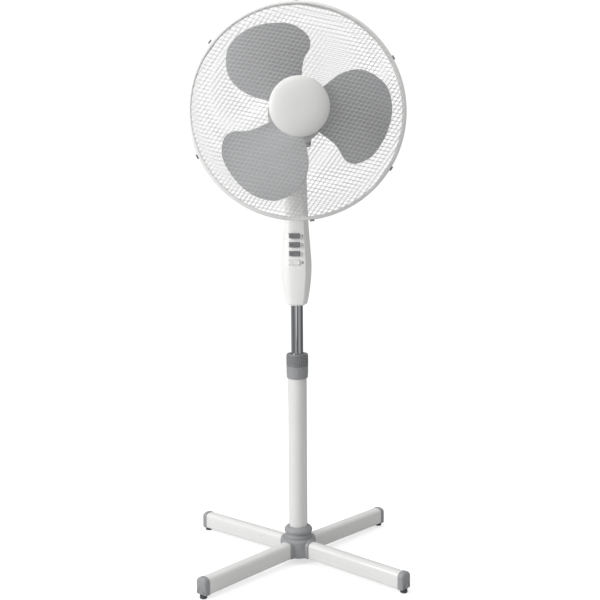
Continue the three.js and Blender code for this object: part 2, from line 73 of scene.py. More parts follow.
def sizedNoise(tree, size, detail=3.0, stretch=(1, 1, 1)):
    # a cloud pattern whose blobs measure `size` millimetres, drawn out along an axis by `stretch`
    where = addNode(tree, "ShaderNodeTexCoord").outputs["Object"]
    scaled = addNode(tree, "ShaderNodeMapping", {"Vector": where, "Scale": [1 / s for s in stretch]})
    return addNode(tree, "ShaderNodeTexNoise", {
        "Vector": scaled.outputs["Vector"], "Scale": 1 / (size * millimetre), "Detail": detail,
    }).outputs["Fac"]


def finish(name, spec):
    # colour drifts between two tones over `cloud` mm, convex edges are lightened towards `edge` as
    # rubbed wear and as a painted edge highlight, roughness drifts over `patch` mm and the relief is
    # grain of `grain` mm, `depth` mm high
    material, tree, shader = newFinish(name)
    cloud = sizedNoise(tree, spec["cloud"], 4.0, spec.get("stretch", (1, 1, 1)))
    tone = addNode(tree, "ShaderNodeMix", {
        "Factor": cloud, "A": toLinear(spec["colour"]), "B": toLinear(spec["second"]),
    }, data_type="RGBA")
    # convex edges, found by pointiness, are lightened: rubbed wear and a painted highlight along the
    # edges
    edgeWearAndHighlightMask = addNode(tree, "ShaderNodeMapRange", {
        "Value": addNode(tree, "ShaderNodeNewGeometry").outputs["Pointiness"],
        "From Min": 0.52, "From Max": 0.62, "To Min": 0.0, "To Max": spec.get("wear", 0.35),
    })
    edged = addNode(tree, "ShaderNodeMix", {
        "Factor": edgeWearAndHighlightMask.outputs["Result"], "A": tone.outputs["Result"], "B": toLinear(spec["edge"]),
    }, data_type="RGBA")
    tree.links.new(edged.outputs["Result"], shader.inputs["Base Color"])
    low, high = spec["roughness"]
    rough = addNode(tree, "ShaderNodeMapRange", {
        "Value": sizedNoise(tree, spec["patch"], 3.0, spec.get("stretch", (1, 1, 1))),
        "From Min": 0.3, "From Max": 0.7, "To Min": low, "To Max": high,
    })
    tree.links.new(rough.outputs["Result"], shader.inputs["Roughness"])
    bump = addNode(tree, "ShaderNodeBump", {
        "Height": sizedNoise(tree, spec["grain"], 2.0, spec.get("stretch", (1, 1, 1))),
        "Distance": spec["depth"] * millimetre, "Strength": spec.get("strength", 1.0),
    })
    tree.links.new(bump.outputs["Normal"], shader.inputs["Normal"])
    shader.inputs["Metallic"].default_value = spec.get("metallic", 0.0)
    if not spec.get("metallic"):
        shader.inputs["IOR"].default_value = spec["ior"]
    shader.inputs["Coat Weight"].default_value = spec.get("coat", 0.0)
    shader.inputs["Coat Roughness"].default_value = spec.get("coatRoughness", 0.1)
    return material


looks = {
    # moulded ABS, satin: soft highlights and a spark-eroded grain too fine to count
    "whiteAbs": finish("white_abs_moulded", {
        "colour": "f8f8f6", "second": "f3f3f1", "edge": "fdfdfc", "cloud": 60, "patch": 35,
        "roughness": (0.34, 0.46), "grain": 0.9, "depth": 0.02, "ior": 1.53,
    }),
    # the same resin from a satin mould, for the cap: a shade greyer with a soft sheen
    "capAbs": finish("white_abs_satin", {
        "colour": "e9e9e7", "second": "e3e3e1", "edge": "f1f1f0", "cloud": 55, "patch": 40,
        "roughness": (0.36, 0.48), "grain": 1.4, "depth": 0.01, "ior": 1.53,
    }),
    # powder coat on steel tube: orange peel in the gloss
    "whiteEnamel": finish("white_powder_coat", {
        "colour": "e5e5e4", "second": "dfdfdd", "edge": "eeeeed", "cloud": 90, "patch": 40,
        "roughness": (0.26, 0.36), "grain": 2.2, "depth": 0.012, "ior": 1.5, "coat": 0.25,
    }),
    # grained polypropylene: matt light grey with paler edges, partly rubbed wear and partly a painted
    # edge highlight
    "greyPlastic": finish("light_grey_polypropylene_grained", {
        "colour": "9c9d9f", "second": "919294", "edge": "b8b9ba", "cloud": 45, "patch": 20,
        "roughness": (0.45, 0.6), "grain": 1.1, "depth": 0.06, "ior": 1.49,
    }),
    # the same resin in a darker grey, for what is gripped and pressed
    "darkGreyPlastic": finish("mid_grey_polypropylene_grained", {
        "colour": "828385", "second": "78797c", "edge": "9c9d9f", "cloud": 30, "patch": 16,
        "roughness": (0.42, 0.55), "grain": 1.0, "depth": 0.05, "ior": 1.49,
    }),
    # injection moulded AS resin: smooth grey blades with faint flow marks from the hub outwards
    "bladeResin": finish("grey_as_resin_glossy", {
        "colour": "b6b7b9", "second": "aeafb1", "edge": "c6c7c9", "cloud": 70, "patch": 50,
        "roughness": (0.28, 0.4), "grain": 6.0, "depth": 0.03, "ior": 1.57, "coat": 0.15,
    }),
    # dip-coated wire: the enamel pools into soft thick and thin spots
    "wireEnamel": finish("white_dipped_wire_enamel", {
        "colour": "f3f3f2", "second": "e9e9e7", "edge": "fbfbfa", "cloud": 25, "patch": 12,
        "roughness": (0.3, 0.42), "grain": 1.6, "depth": 0.03, "ior": 1.5, "coat": 0.2,
    }),
    # the guard's dip-coated wire enamel in a darker copy for the fine net: painted shade, for the
    # shadow that lies over the net
    "netEnamelPaintedShade": finish("net_wire_enamel_darkened_as_painted_shade", {
        "colour": "dadad9", "second": "cececd", "edge": "e6e6e5", "cloud": 20, "patch": 9,
        "roughness": (0.32, 0.45), "grain": 1.2, "depth": 0.02, "ior": 1.5, "coat": 0.15,
    }),
    # chrome plate on drawn tube: mirror bright with hair-fine draw lines along the tube
    "chrome": finish("chrome_plated_drawn_tube", {
        "colour": "c9cbce", "second": "bfc1c4", "edge": "dcdde0", "cloud": 20, "patch": 14,
        "roughness": (0.05, 0.1), "grain": 0.8, "depth": 0.004, "metallic": 1.0,
        "stretch": (1, 1, 40),
    }),
    # zinc-plated turned steel: grey, slightly cloudy
    "steel": finish("zinc_plated_steel", {
        "colour": "9fa1a4", "second": "8b8d90", "edge": "c3c5c7", "cloud": 6, "patch": 4,
        "roughness": (0.28, 0.45), "grain": 0.5, "depth": 0.01, "metallic": 1.0,
    }),
    # laminated core under enamelled copper wire: fine rings of copper brown
    "windings": finish("enamelled_copper_windings", {
        "colour": "8a5230", "second": "a8683c", "edge": "c08050", "cloud": 2, "patch": 3,
        "roughness": (0.3, 0.45), "grain": 0.8, "depth": 0.2, "metallic": 1.0,
        "stretch": (1, 6, 1),
    }),
    # natural nylon: milky and a little waxy
    "nylon": finish("natural_nylon_moulded", {
        "colour": "dcd9d0", "second": "d2cfc5", "edge": "e8e6de", "cloud": 12, "patch": 9,
        "roughness": (0.4, 0.5), "grain": 0.7, "depth": 0.02, "ior": 1.53,
    }),
    # moulded rubber: matt charcoal with a dusty bloom
    "rubber": finish("moulded_rubber", {
        "colour": "4b4b4c", "second": "5a5a5b", "edge": "6a6a6a", "cloud": 5, "patch": 5,
        "roughness": (0.75, 0.9), "grain": 0.6, "depth": 0.05, "ior": 1.52,
    }),
    # pad-printed ink: flat dark grey with worn thin spots
    "ink": finish("pad_printed_ink", {
        "colour": "3f4042", "second": "4b4c4e", "edge": "606163", "cloud": 1.5, "patch": 2,
        "roughness": (0.5, 0.6), "grain": 0.5, "depth": 0.01, "ior": 1.5,
    }),
}
print("finishes ready,", len(looks))

# Surfaces.


def filletLine(points, radius, steps=4, closed=False):
    # each corner p of a broken line becomes (1-t)^2 a + 2 t (1-t) p + t^2 b, where a and b lie
    # up to `radius` from p on its two sides
    p = np.asarray(points, float)
    reach = np.broadcast_to(np.asarray(radius, float), len(p))[:, None]

    def towards(q):
        side = q - p
        length = np.maximum(np.linalg.norm(side, axis=1, keepdims=True), 1e-9)
        return p + side / length * np.minimum(reach, length * 0.49)

    a, b = towards(np.roll(p, 1, 0)), towards(np.roll(p, -1, 0))
    t = np.linspace(0, 1, steps + 1)[None, :, None]
    arcs = a[:, None] * (1 - t) ** 2 + 2 * p[:, None] * t * (1 - t) + b[:, None] * t ** 2
    if not closed:
        arcs[0], arcs[-1] = p[0], p[-1]
    line = arcs.reshape(-1, 2)
    apart = np.linalg.norm(np.diff(line, axis=0), axis=1) > 1e-4
    return line[np.concatenate([[True], apart])]


def smoothLine(points, steps=8):
    # Catmull-Rom curve: between p1 and p2 it is the cubic that leaves p1 along p2 - p0 and
    # reaches p2 along p3 - p1
    p = np.asarray(points, float)
    p = np.vstack([2 * p[0] - p[1], p, 2 * p[-1] - p[-2]])
    p0, p1, p2, p3 = (p[i:len(p) - 3 + i][:, None] for i in range(4))
    t = np.linspace(0, 1, steps, endpoint=False)[None, :, None]
    curve = 0.5 * (2 * p1 + (p2 - p0) * t + (2 * p0 - 5 * p1 + 4 * p2 - p3) * t ** 2
                   + (3 * p1 - p0 - 3 * p2 + p3) * t ** 3)
    return np.vstack([curve.reshape(-1, p.shape[1]), p[-2:-1]])


def turned(profile, segments=72, ring=False, ribs=None):
    # point = (r cos a, r sin a, h) for each (r, h) of the profile and each angle a; ribs add
    # depth * (0.5 + 0.5 cos(count a)) ^ sharpness to r where h lies between two heights
    profile = np.asarray(profile, float)
    angle = np.linspace(0, fullTurn, segments, endpoint=False)[None]
    radius, height = profile[:, :1] + 0 * angle, profile[:, 1:] + 0 * angle
    if ribs:
        wave = (0.5 + 0.5 * np.cos(ribs["count"] * angle)) ** ribs.get("sharpness", 1)
        inside = (height >= ribs["from"]) & (height <= ribs["to"]) & (radius > ribs.get("beyond", 0))
        radius = radius + ribs["depth"] * wave * inside
    return np.stack([radius * np.cos(angle), radius * np.sin(angle), height], -1), ring, True


def stacked(outline, levels):
    # copies of a closed outline, each moved inwards by its inset along the outline's own normal
    # and set at its height; the first and last close on the outline's middle
    outline = np.asarray(outline, float)
    along = np.roll(outline, -1, 0) - np.roll(outline, 1, 0)
    outwards = np.stack([along[:, 1], -along[:, 0]], -1)
    outwards /= np.maximum(np.linalg.norm(outwards, axis=1, keepdims=True), 1e-9)
    levels = np.asarray(levels, float)
    flat = outline[None] - outwards[None] * levels[:, 0][:, None, None]
    middle = np.broadcast_to(outline.mean(0), (1,) + outline.shape)
    flat = np.concatenate([middle, flat, middle])
    heights = np.concatenate([levels[:1, 1], levels[:, 1], levels[-1:, 1]])
    lifted = np.broadcast_to(heights[:, None, None], flat.shape[:2] + (1,))
    return np.concatenate([flat, lifted], -1), False, True


def rounded(low, high, corner, steps=4):
    # outline of a rectangle from its low to its high corner with rounded corners
    (x0, y0), (x1, y1) = low, high
    return filletLine([(x0, y0), (x1, y0), (x1, y1), (x0, y1)], corner, steps, closed=True)


def reordered(grid, order, move=(0, 0, 0)):
    # the grid with its axes exchanged, then moved
    points, *wraps = grid
    return (points[..., list(order)] + np.array(move, float), *wraps)


alongX, alongY, upright = (2, 0, 1), (0, 2, 1), (0, 1, 2)


def spun(grid, degrees, about="z"):
    # the grid turned about Z, or about Y from +X towards +Z
    points, *wraps = grid
    c, s = math.cos(math.radians(degrees)), math.sin(math.radians(degrees))
    x, y, z = np.moveaxis(points, -1, 0)
    if about == "z":
        return (np.stack([c * x - s * y, s * x + c * y, z], -1), *wraps)
    return (np.stack([c * x - s * z, y, s * x + c * z], -1), *wraps)


headPlace = {"tiltDegrees": 5.85, "boltHeight": 884, "shaftRise": 52, "swingPin": 22}


def onHead(points, rise=0):
    # from the tilt bolt's frame to the floor's: turned front-up about the bolt and lifted to it
    angle = math.radians(headPlace["tiltDegrees"])
    c, s = math.cos(angle), math.sin(angle)
    x, y, z = np.moveaxis(np.asarray(points, float), -1, 0)
    z = z + rise
    return np.stack([x, c * y + s * z, headPlace["boltHeight"] - s * y + c * z], -1)


def onShaft(points):
    return onHead(points, headPlace["shaftRise"])


def quadsOf(rows, columns, wrapRows, wrapColumns):
    index = np.arange(rows * columns).reshape(rows, columns)
    if wrapRows:
        index = np.vstack([index, index[:1]])
    if wrapColumns:
        index = np.hstack([index, index[:, :1]])
    corners = index[:-1, :-1], index[1:, :-1], index[1:, 1:], index[:-1, 1:]
    return np.stack(corners, -1).reshape(-1, 4)


def gather(grids):
    # several grids as one list of points and one of quads
    points, quads, count = [], [], 0
    for grid, wrapRows, wrapColumns in grids:
        rows, columns = grid.shape[:2]
        points.append(grid.reshape(-1, 3))
        quads.append(quadsOf(rows, columns, wrapRows, wrapColumns) + count)
        count += rows * columns
    return np.vstack(points), np.vstack(quads)


def meshPiece(name, points, quads, look, body, nodes=(), crease=32):
    mesh = bpy.data.meshes.new(name)
    mesh.vertices.add(len(points))
    mesh.vertices.foreach_set("co", (np.asarray(points) * millimetre).astype(np.float32).ravel())
    mesh.loops.add(quads.size)
    mesh.loops.foreach_set("vertex_index", quads.astype(np.int32).ravel())
    mesh.polygons.add(len(quads))
    mesh.polygons.foreach_set("loop_start", np.arange(0, quads.size, 4, dtype=np.int32))
    mesh.update()
    mesh.validate()
    work = bmesh.new()
    work.from_mesh(mesh)
    bmesh.ops.remove_doubles(work, verts=work.verts, dist=1e-6)
    bmesh.ops.dissolve_degenerate(work, edges=work.edges, dist=1e-7)
    bmesh.ops.recalc_face_normals(work, faces=work.faces)
    if work.calc_volume(signed=True) < 0:  # a fine net can be turned inside out by that
        bmesh.ops.reverse_faces(work, faces=work.faces)
    work.to_mesh(mesh)
    work.free()
    mesh.polygons.foreach_set("use_smooth", np.ones(len(mesh.polygons), bool))
    mesh.set_sharp_from_angle(angle=math.radians(crease))
    mesh.materials.append(looks[look])
    piece = bpy.data.objects.new(name, mesh)
    bpy.context.scene.collection.objects.link(piece)
    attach(piece, body)
    if nodes:
        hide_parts(*nodes)
    return piece


def makePiece(name, grids, look, body, nodes=(), place=None, crease=32):
    points, quads = gather(grids)
    return meshPiece(name, place(points) if place else points, quads, look, body, nodes, crease)


# Base.

legDirections = {"front_left": 225, "front_right": 315, "rear_right": 45, "rear_left": 135}
legSize = {"halfWidth": 13, "underside": 8, "top": 42, "crown": 10, "rise": 4, "start": 15, "end": 273,
           "footReach": 279}


def legOutline(grow, bottomGrow=None):
    # flat underside with small rounded corners, upright sides and a full crown
    # x = w |cos t|^0.8, z = z0 + c |sin t|^0.8
    bottomGrow = grow if bottomGrow is None else bottomGrow
    half, crown = legSize["halfWidth"] + grow, legSize["crown"] + grow
    low, shoulder = legSize["underside"] - bottomGrow, legSize["top"] - legSize["crown"]
    turn = np.linspace(0, math.pi, 19)
    crownX = half * np.sign(np.cos(turn)) * np.abs(np.cos(turn)) ** 0.8
    crownZ = shoulder + crown * np.abs(np.sin(turn)) ** 0.8
    corner = filletLine([(-half, shoulder), (-half, low), (half, low), (half, shoulder)], 3.5, 4)
    return np.vstack([corner[1:-1], np.stack([crownX, crownZ], -1)])


def alongLeg(outline, levels):
    # the outline carried along +X and lifted by rise * (1 - x / end)
    points, *wraps = reordered(stacked(outline, levels), alongX)
    points[..., 2] += legSize["rise"] * (1 - points[..., 0] / legSize["end"])
    return (points, *wraps)


for place, degrees in legDirections.items():
    tube = alongLeg(legOutline(0), [
        (0, legSize["start"]), (0, 80), (0, 150), (0, 220), (0, legSize["end"]),
    ])
    makePiece(f"leg_tube_{place}", [spun(tube, degrees)], "whiteEnamel", "base",
              [f"leg_{place}"])
    capStart = legSize["end"] + 0.2
    nose = alongLeg(legOutline(0.9, 0.7), [
        (0.9, capStart), (0.2, capStart + 0.4), (0, capStart + 1.2), (0, capStart + 8),
        (0.5, capStart + 10.2), (1.6, capStart + 11.9), (3.2, capStart + 12.8), (5.5, capStart + 13.1),
    ])
    makePiece(f"leg_end_{place}", [spun(nose, degrees)], "greyPlastic", "base",
              [f"leg_cap_{place}"], crease=40)
    pad = turned(filletLine([
        (0, 0), (6.6, 0), (7.5, 1.2), (7.5, 3), (6.6, 3.4), (6.6, 4.4), (7.3, 4.8), (7.3, 6.6),
        (0, 6.6),
    ], 0.4, 2), 40)
    makePiece(f"foot_{place}", [spun(reordered(pad, upright, (legSize["footReach"], 0, 0)), degrees)],
              "rubber", "base", [f"foot_pad_{place}"])

hubProfile = [
    (0, 14), (33, 14), (36.6, 12.5), (37, 15), (35.6, 24), (35.2, 38), (35.2, 45.5), (33.5, 48.5),
    (28.2, 49.6), (28.6, 51), (28.8, 54.5), (27.6, 56.8), (26, 57.8), (25.8, 59.8), (26.6, 61.2),
    (29.4, 62.4), (29.8, 66.5), (28.6, 69.5), (25.5, 72.6), (22, 74.8), (20, 74.8), (19.9, 60), (0, 60),
]
hubGrids = [turned(filletLine(hubProfile, 0.8, 3), 96)]
for degrees in legDirections.values():
    sleeve = alongLeg(legOutline(2.4, 0.4), [
        (2, 20), (0.6, 22), (0, 24), (0, 37), (0.6, 38.8), (1.9, 39.6),
    ])
    hubGrids.append(spun(sleeve, degrees))
makePiece("hub", hubGrids, "greyPlastic", "base", ["base_hub"], crease=38)
print("base built")

# Mast.


def pipe(radius, bore, bottom, top, segments=96):
    # a tube whose four edges are rolled over by 0.5 mm
    corners = [(bore, bottom), (radius, bottom), (radius, top), (bore, top)]
    section = filletLine(corners, 0.5, 3, closed=True)
    return turned(section, segments, ring=True)


mastSize = {
    # radius, bore, bottom and top of each tube
    "outer": (19.5, 18.1, 50.6, 405),
    "inner": (12.5, 11.3, 236, 622),
}
makePiece("mast_tube", [pipe(*mastSize["outer"])], "whiteEnamel", "base",
          ["outer_tube"])
makePiece("chrome_tube", [pipe(*mastSize["inner"], 128)], "chrome", "mast", ["inner_tube"])

collarSize = {"bottom": 395, "split": 421, "top": 447, "radius": 22.4}
sleeveSection = filletLine([
    (19.7, 395), (20.9, 395), (22.0, 396.6), (22.3, 399), (22.1, 402), (22.4, 405), (22.4, 416),
    (22.9, 417.5), (22.9, 421), (19.9, 421), (19.9, 439), (17.2, 439), (17.2, 406), (19.7, 406),
], 0.8, 3, closed=True)
makePiece("collar_sleeve_ring", [turned(sleeveSection, 120, ring=True, ribs={
    "count": 12, "depth": 0.35, "from": 405, "to": 416, "beyond": 21.5, "sharpness": 6,
})], "greyPlastic", "base", ["collar_sleeve"])
nutSection = filletLine([
    (20.5, 421.3), (22.6, 421.3), (22.8, 423), (22.3, 425), (22.3, 426), (22.3, 441), (22.7, 442),
    (22.9, 443.4), (22.3, 445.6), (20.9, 446.9), (13.2, 447), (13.2, 443.2), (20.5, 443.2),
], 0.6, 3, closed=True)
makePiece("height_nut", [turned(nutSection, 240, ring=True, ribs={
    "count": 30, "depth": 0.7, "from": 425.5, "to": 441.2, "beyond": 21.8, "sharpness": 0.7,
})], "darkGreyPlastic", "clamp_nut", ["clamp_nut"])
print("mast built")

# Control housing.

housingSize = {"bottom": 552, "top": 866, "widest": 634, "halfWidth": 31, "depthRatio": 0.95,
               "seam": 4, "corner": 2.4, "seamGap": 0.15, "rows": 44}
keySize = {"halfWidth": 11, "halfHeight": 5, "centreX": -5.5, "topZ": 695, "pitch": 18.2,
           "face": -31.2, "back": -24.5, "lean": 0.14, "gap": 0.35, "window": 7.5}
keyRows = {"speed_3": 0, "speed_2": 1, "speed_1": 2, "off": 3}
keyHeights = {name: keySize["topZ"] - row * keySize["pitch"] for name, row in keyRows.items()}


def housingHalf(z):
    # widest below the keys; u and d are the shares of the way up and down from there, and the
    # half width loses 11.2 u^1.15 and 9.5 d^2, and 2.4 sin(pi u^0.8)^2 at the waist of the neck
    bottom, widest, top = (housingSize[name] for name in ("bottom", "widest", "top"))
    up = np.clip((z - widest) / (top - widest), 0, None)
    down = np.clip((widest - z) / (widest - bottom), 0, None)
    waist = 2.4 * np.sin(math.pi * up ** 0.8) ** 2
    return housingSize["halfWidth"] - 11.2 * up ** 1.15 - 9.5 * down ** 2 - waist


def housingRows(extra=()):
    # even heights between the rounded ends, with the extra ones sorted in
    low = housingSize["bottom"] + housingSize["corner"]
    high = housingSize["top"] - housingSize["corner"]
    return np.sort(np.concatenate([np.linspace(low, high, housingSize["rows"]), extra]))


# the front half's section for a half width and depth of 1: a broad face turned a little to the
# left, a bevel to its right and rounded sides
sectionFront = filletLine([
    (1.0, 0.13), (0.99, -0.30), (0.56, -0.98), (0, -0.955), (-0.68, -0.83), (-0.97, -0.34),
    (-1.0, 0.13),
], [0, 0.30, 0.06, 0.5, 0.3, 0.30, 0], 7)
sectionOrder = np.argsort(sectionFront[:, 0])
keyMiddles = np.array(list(keyHeights.values()))


def shellFront():
    # each height z carries the front section scaled by its half width w(z) and depth 0.95 w(z);
    # columns that border the key windows keep a fixed x, and the windows are pushed in
    windowLow = keySize["centreX"] - keySize["halfWidth"] - keySize["gap"]
    windowHigh = keySize["centreX"] + keySize["halfWidth"] + keySize["gap"]
    tall = keySize["halfHeight"] + keySize["gap"]
    lip = 0.02
    edges = np.array([[z - tall - lip, z - tall, z + tall, z + tall + lip] for z in keyMiddles])
    z = housingRows(edges.ravel())
    z = z[(np.abs(z[:, None] - edges.ravel()[None]).min(1) < 1e-6)
          | (np.abs(z[:, None] - keyMiddles[None]).min(1) > tall + 1)]
    w = housingHalf(z)
    right = sectionFront[sectionFront[:, 0] > 0.5]
    left = sectionFront[sectionFront[:, 0] < -0.64]
    fixed = np.array([8.6, windowHigh + lip, windowHigh, 1.5, -4.5, -10.5, windowLow, windowLow - lip])
    within = housingHalf(np.clip(z, 630, 706))
    columnsX = fixed[None] * (w / within)[:, None]
    columnsY = np.interp(columnsX / w[:, None], *sectionFront[sectionOrder].T)
    depth = w * housingSize["depthRatio"]
    x = np.hstack([right[None, :, 0] * w[:, None], columnsX, left[None, :, 0] * w[:, None]])
    y = np.hstack([right[None, :, 1] * depth[:, None], columnsY * depth[:, None],
                   left[None, :, 1] * depth[:, None]])
    inRow = (np.abs(z[:, None] - keyMiddles[None]) <= tall + 1e-3).any(1)
    inColumn = np.zeros(x.shape[1], bool)
    inColumn[len(right) + 2:len(right) + 7] = True
    y = y + keySize["window"] * (inRow[:, None] & inColumn[None])
    seamY = np.full((len(z), 1), housingSize["seam"] - housingSize["seamGap"])
    x = np.hstack([w[:, None], x, -w[:, None], 0 * w[:, None]])
    y = np.hstack([seamY, y, seamY, seamY])
    return roundEnds(np.stack([x, y, np.broadcast_to(z[:, None], x.shape)], -1), (0, -8))


def roundEnds(column, middle):
    # the first and last rings are repeated smaller and further out, as a quarter round, and then
    # close on the middle
    turn = np.linspace(0, math.pi / 2, 5)[1:]
    corner = housingSize["corner"]
    centre = np.array(middle, float)

    def cap(ring, way):
        span = np.abs(ring[:, 0]).max()
        shares = 1 - (corner / span) * (1 - np.cos(turn))
        flat = centre + (ring[None, :, :2] - centre) * shares[:, None, None]
        height = ring[0, 2] + way * corner * np.sin(turn)
        lifted = np.broadcast_to(height[:, None, None], flat.shape[:2] + (1,))
        rings = np.concatenate([flat, lifted], -1)
        pole = np.empty((1,) + ring.shape)
        pole[..., :2], pole[..., 2] = centre, height[-1]
        return np.concatenate([rings, pole])

    return np.concatenate([cap(column[0], -1)[::-1], column, cap(column[-1], 1)]), False, True


def shellRear():
    # x = w sign(cos t)|cos t|^(2/3), y = 0.95 w |sin t|^(2/3) behind the seam
    z = housingRows()
    w = housingHalf(z)
    turn = np.linspace(0.012, math.pi - 0.012, 41)[None]
    x = w[:, None] * np.sign(np.cos(turn)) * np.abs(np.cos(turn)) ** (2 / 3)
    y = w[:, None] * housingSize["depthRatio"] * np.sin(turn) ** (2 / 3)
    seamY = housingSize["seam"] + housingSize["seamGap"]
    y = np.maximum(y, seamY)
    x = np.hstack([x, 0 * w[:, None]])
    y = np.hstack([y, np.full((len(z), 1), seamY)])
    return roundEnds(np.stack([x, y, np.broadcast_to(z[:, None], x.shape)], -1), (0, 8))


bottomSleeve = turned(filletLine([
    (12.8, 549.5), (16.5, 549.5), (17.4, 551), (17.4, 556), (12.8, 556),
], 0.7, 3, closed=True), 72, ring=True)
makePiece("housing_shell_front", [shellFront(), bottomSleeve], "whiteAbs", "mast",
          ["housing_front"], crease=26)
tongueSide = filletLine([
    (-10, 858), (10, 858), (10, 889), (5, 894), (-5, 894), (-10, 889),
], [1, 1, 5, 3, 3, 5], 5, closed=True)
tongue = reordered(stacked(tongueSide, [(0.8, -12), (0, -11.2), (0, 11.2), (0.8, 12)]), alongX)
makePiece("housing_shell_rear", [shellRear(), tongue], "whiteAbs", "mast",
          ["housing_rear"], crease=30)

for name, z in keyHeights.items():
    outline = rounded(
        (keySize["centreX"] - keySize["halfWidth"], z - keySize["halfHeight"]),
        (keySize["centreX"] + keySize["halfWidth"], z + keySize["halfHeight"]), 3.2, 6)
    face = keySize["face"]
    key = reordered(stacked(outline, [
        (0, keySize["back"]), (0, face + 1.6), (0.25, face + 0.8), (0.9, face + 0.2), (1.8, face),
        (2.6, face + 0.15), (3.8, face + 0.5),
    ]), alongY)
    # the front is turned as the housing's face is, deeper towards its left end
    lean = keySize["lean"] * (keySize["centreX"] + keySize["halfWidth"] - key[0][..., 0])
    key[0][..., 1] += lean * (key[0][..., 1] < keySize["back"] - 0.5)
    look, slot = "darkGreyPlastic", "dark_grey_plastic"
    if name == "off":
        look, slot = "whiteAbs", "white_plastic"
    makePiece(f"key_{name}", [key], look, f"button_{name}", [f"button_{name}"], crease=40)


def faceDepth(x, z):
    # how far forward the housing's front lies at (x, z)
    w = housingHalf(np.array(float(z)))
    return float(np.interp(x / w, *sectionFront[sectionOrder].T) * w * housingSize["depthRatio"])


numeralSize = {"size": 6.2, "zero": 8.6, "x": 11.4, "proud": 0.12, "thick": 0.15, "turnDegrees": 3}
for text, z in zip("3210", keyHeights.values()):
    curve = bpy.data.curves.new(f"numeral_{text}", "FONT")
    curve.body, curve.extrude = text, numeralSize["thick"] * millimetre
    curve.size = numeralSize["zero" if text == "0" else "size"] * millimetre
    curve.align_x, curve.align_y = "CENTER", "CENTER"
    writing = bpy.data.objects.new("writing", curve)
    bpy.context.scene.collection.objects.link(writing)
    bpy.context.view_layer.update()
    written = writing.evaluated_get(bpy.context.evaluated_depsgraph_get())
    mesh = bpy.data.meshes.new_from_object(written)
    bpy.data.objects.remove(writing)
    spot = (numeralSize["x"], faceDepth(numeralSize["x"], z) - numeralSize["proud"], z)
    mesh.transform(Matrix.Translation([v * millimetre for v in spot])
                   @ Matrix.Rotation(math.radians(numeralSize["turnDegrees"]), 4, "Z")
                   @ Matrix.Rotation(math.pi / 2, 4, "X"))
    mesh.materials.clear()
    mesh.materials.append(looks["ink"])
    mark = bpy.data.objects.new(f"numeral_{text}", mesh)
    bpy.context.scene.collection.objects.link(mark)
    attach(mark, "mast")


def crossScrew(radius, height, base):
    # a domed head, h = base + height (1 - (r / radius)^3); where |x| or |y| is under 0.45 mm near
    # the middle it is cut 0.9 mm deep
    ring = np.linspace(0, 1, 15)[:, None]
    angle = np.linspace(0, fullTurn, 96, endpoint=False)[None]
    x, y = radius * ring * np.cos(angle), radius * ring * np.sin(angle)
    dome = base + height * (1 - ring ** 3) + 0 * angle
    cross = (np.minimum(np.abs(x), np.abs(y)) < 0.45) & (np.hypot(x, y) < radius * 0.62)
    top = np.stack([x, y, dome - 0.9 * cross], -1)
    foot = np.stack([x[-1:], y[-1:], np.full_like(x[-1:], base - 6)], -1)
    pole = foot * np.array([0, 0, 1])
    return np.concatenate([top, foot, pole]), False, True


def housingBack(z):
    # how far back the housing reaches at the height z
    return float(housingHalf(np.array(float(z)))) * housingSize["depthRatio"]


screwSize = {"radius": 3.6, "dome": 1.3, "proud": 0.2}
glandHeight = 618
for name, z, node in (("case_screw_1", 735, "shell_screw_1"), ("case_screw_2", 828, "shell_screw_2"),
                      ("mast_set_screw", 585, "mast_screw")):
    screw = crossScrew(screwSize["radius"], screwSize["dome"], housingBack(z) + screwSize["proud"])
    makePiece(name, [reordered(screw, alongY, (0, 0, z))], "steel", "mast", [node], crease=30)
glandBack = housingBack(glandHeight)
glandSection = filletLine([
    (2.8, glandBack - 4), (4.6, glandBack - 4), (4.6, glandBack + 0.1), (7.2, glandBack + 0.1),
    (7.2, glandBack + 1.6), (5.4, glandBack + 2.4), (5.0, glandBack + 4.2), (2.8, glandBack + 4.2),
], 0.5, 3, closed=True)
makePiece("cord_grommet", [reordered(turned(glandSection, 48, ring=True), alongY, (0, 0, glandHeight))],
          "darkGreyPlastic", "mast", ["cord_gland"])
print("control housing built")

# Tilt joint.


def yoke():
    # two cheeks that widen upwards from the bolt into the round plate under the motor
    plate = turned(filletLine([
        (0, 9.4), (30, 9.4), (35, 12), (36.5, 14.4), (36.5, 16.6), (0, 16.8),
    ], 1.5, 4), 96)
    grids = [reordered(plate, upright, (0, 10, 0))]
    cheek = filletLine([
        (-11, 0), (-7.8, -7.8), (0, -11), (7.8, -7.8), (11, 0), (14, 12), (-14, 12),
    ], [4, 4, 4, 4, 4, 1, 1], 4, closed=True)
    for side in (-1, 1):
        levels = [(1, 12.4), (0, 13), (0, 18.5), (1.2, 20)]
        points, *wraps = reordered(stacked(cheek, levels), alongX)
        flare = 0.75 * np.clip(points[..., 2] + 4, 0, None)  # the outer face leans out by this
        points[..., 0] += np.where(points[..., 0] > 16, flare, 0)
        points[..., 0] *= side
        grids.append((points, *wraps))
    pin = turned(filletLine([(0, 12), (5, 12), (5, 35), (4, 36), (0, 36)], 0.5, 2), 32)
    return grids + [reordered(pin, upright, (0, headPlace["swingPin"], 0))]


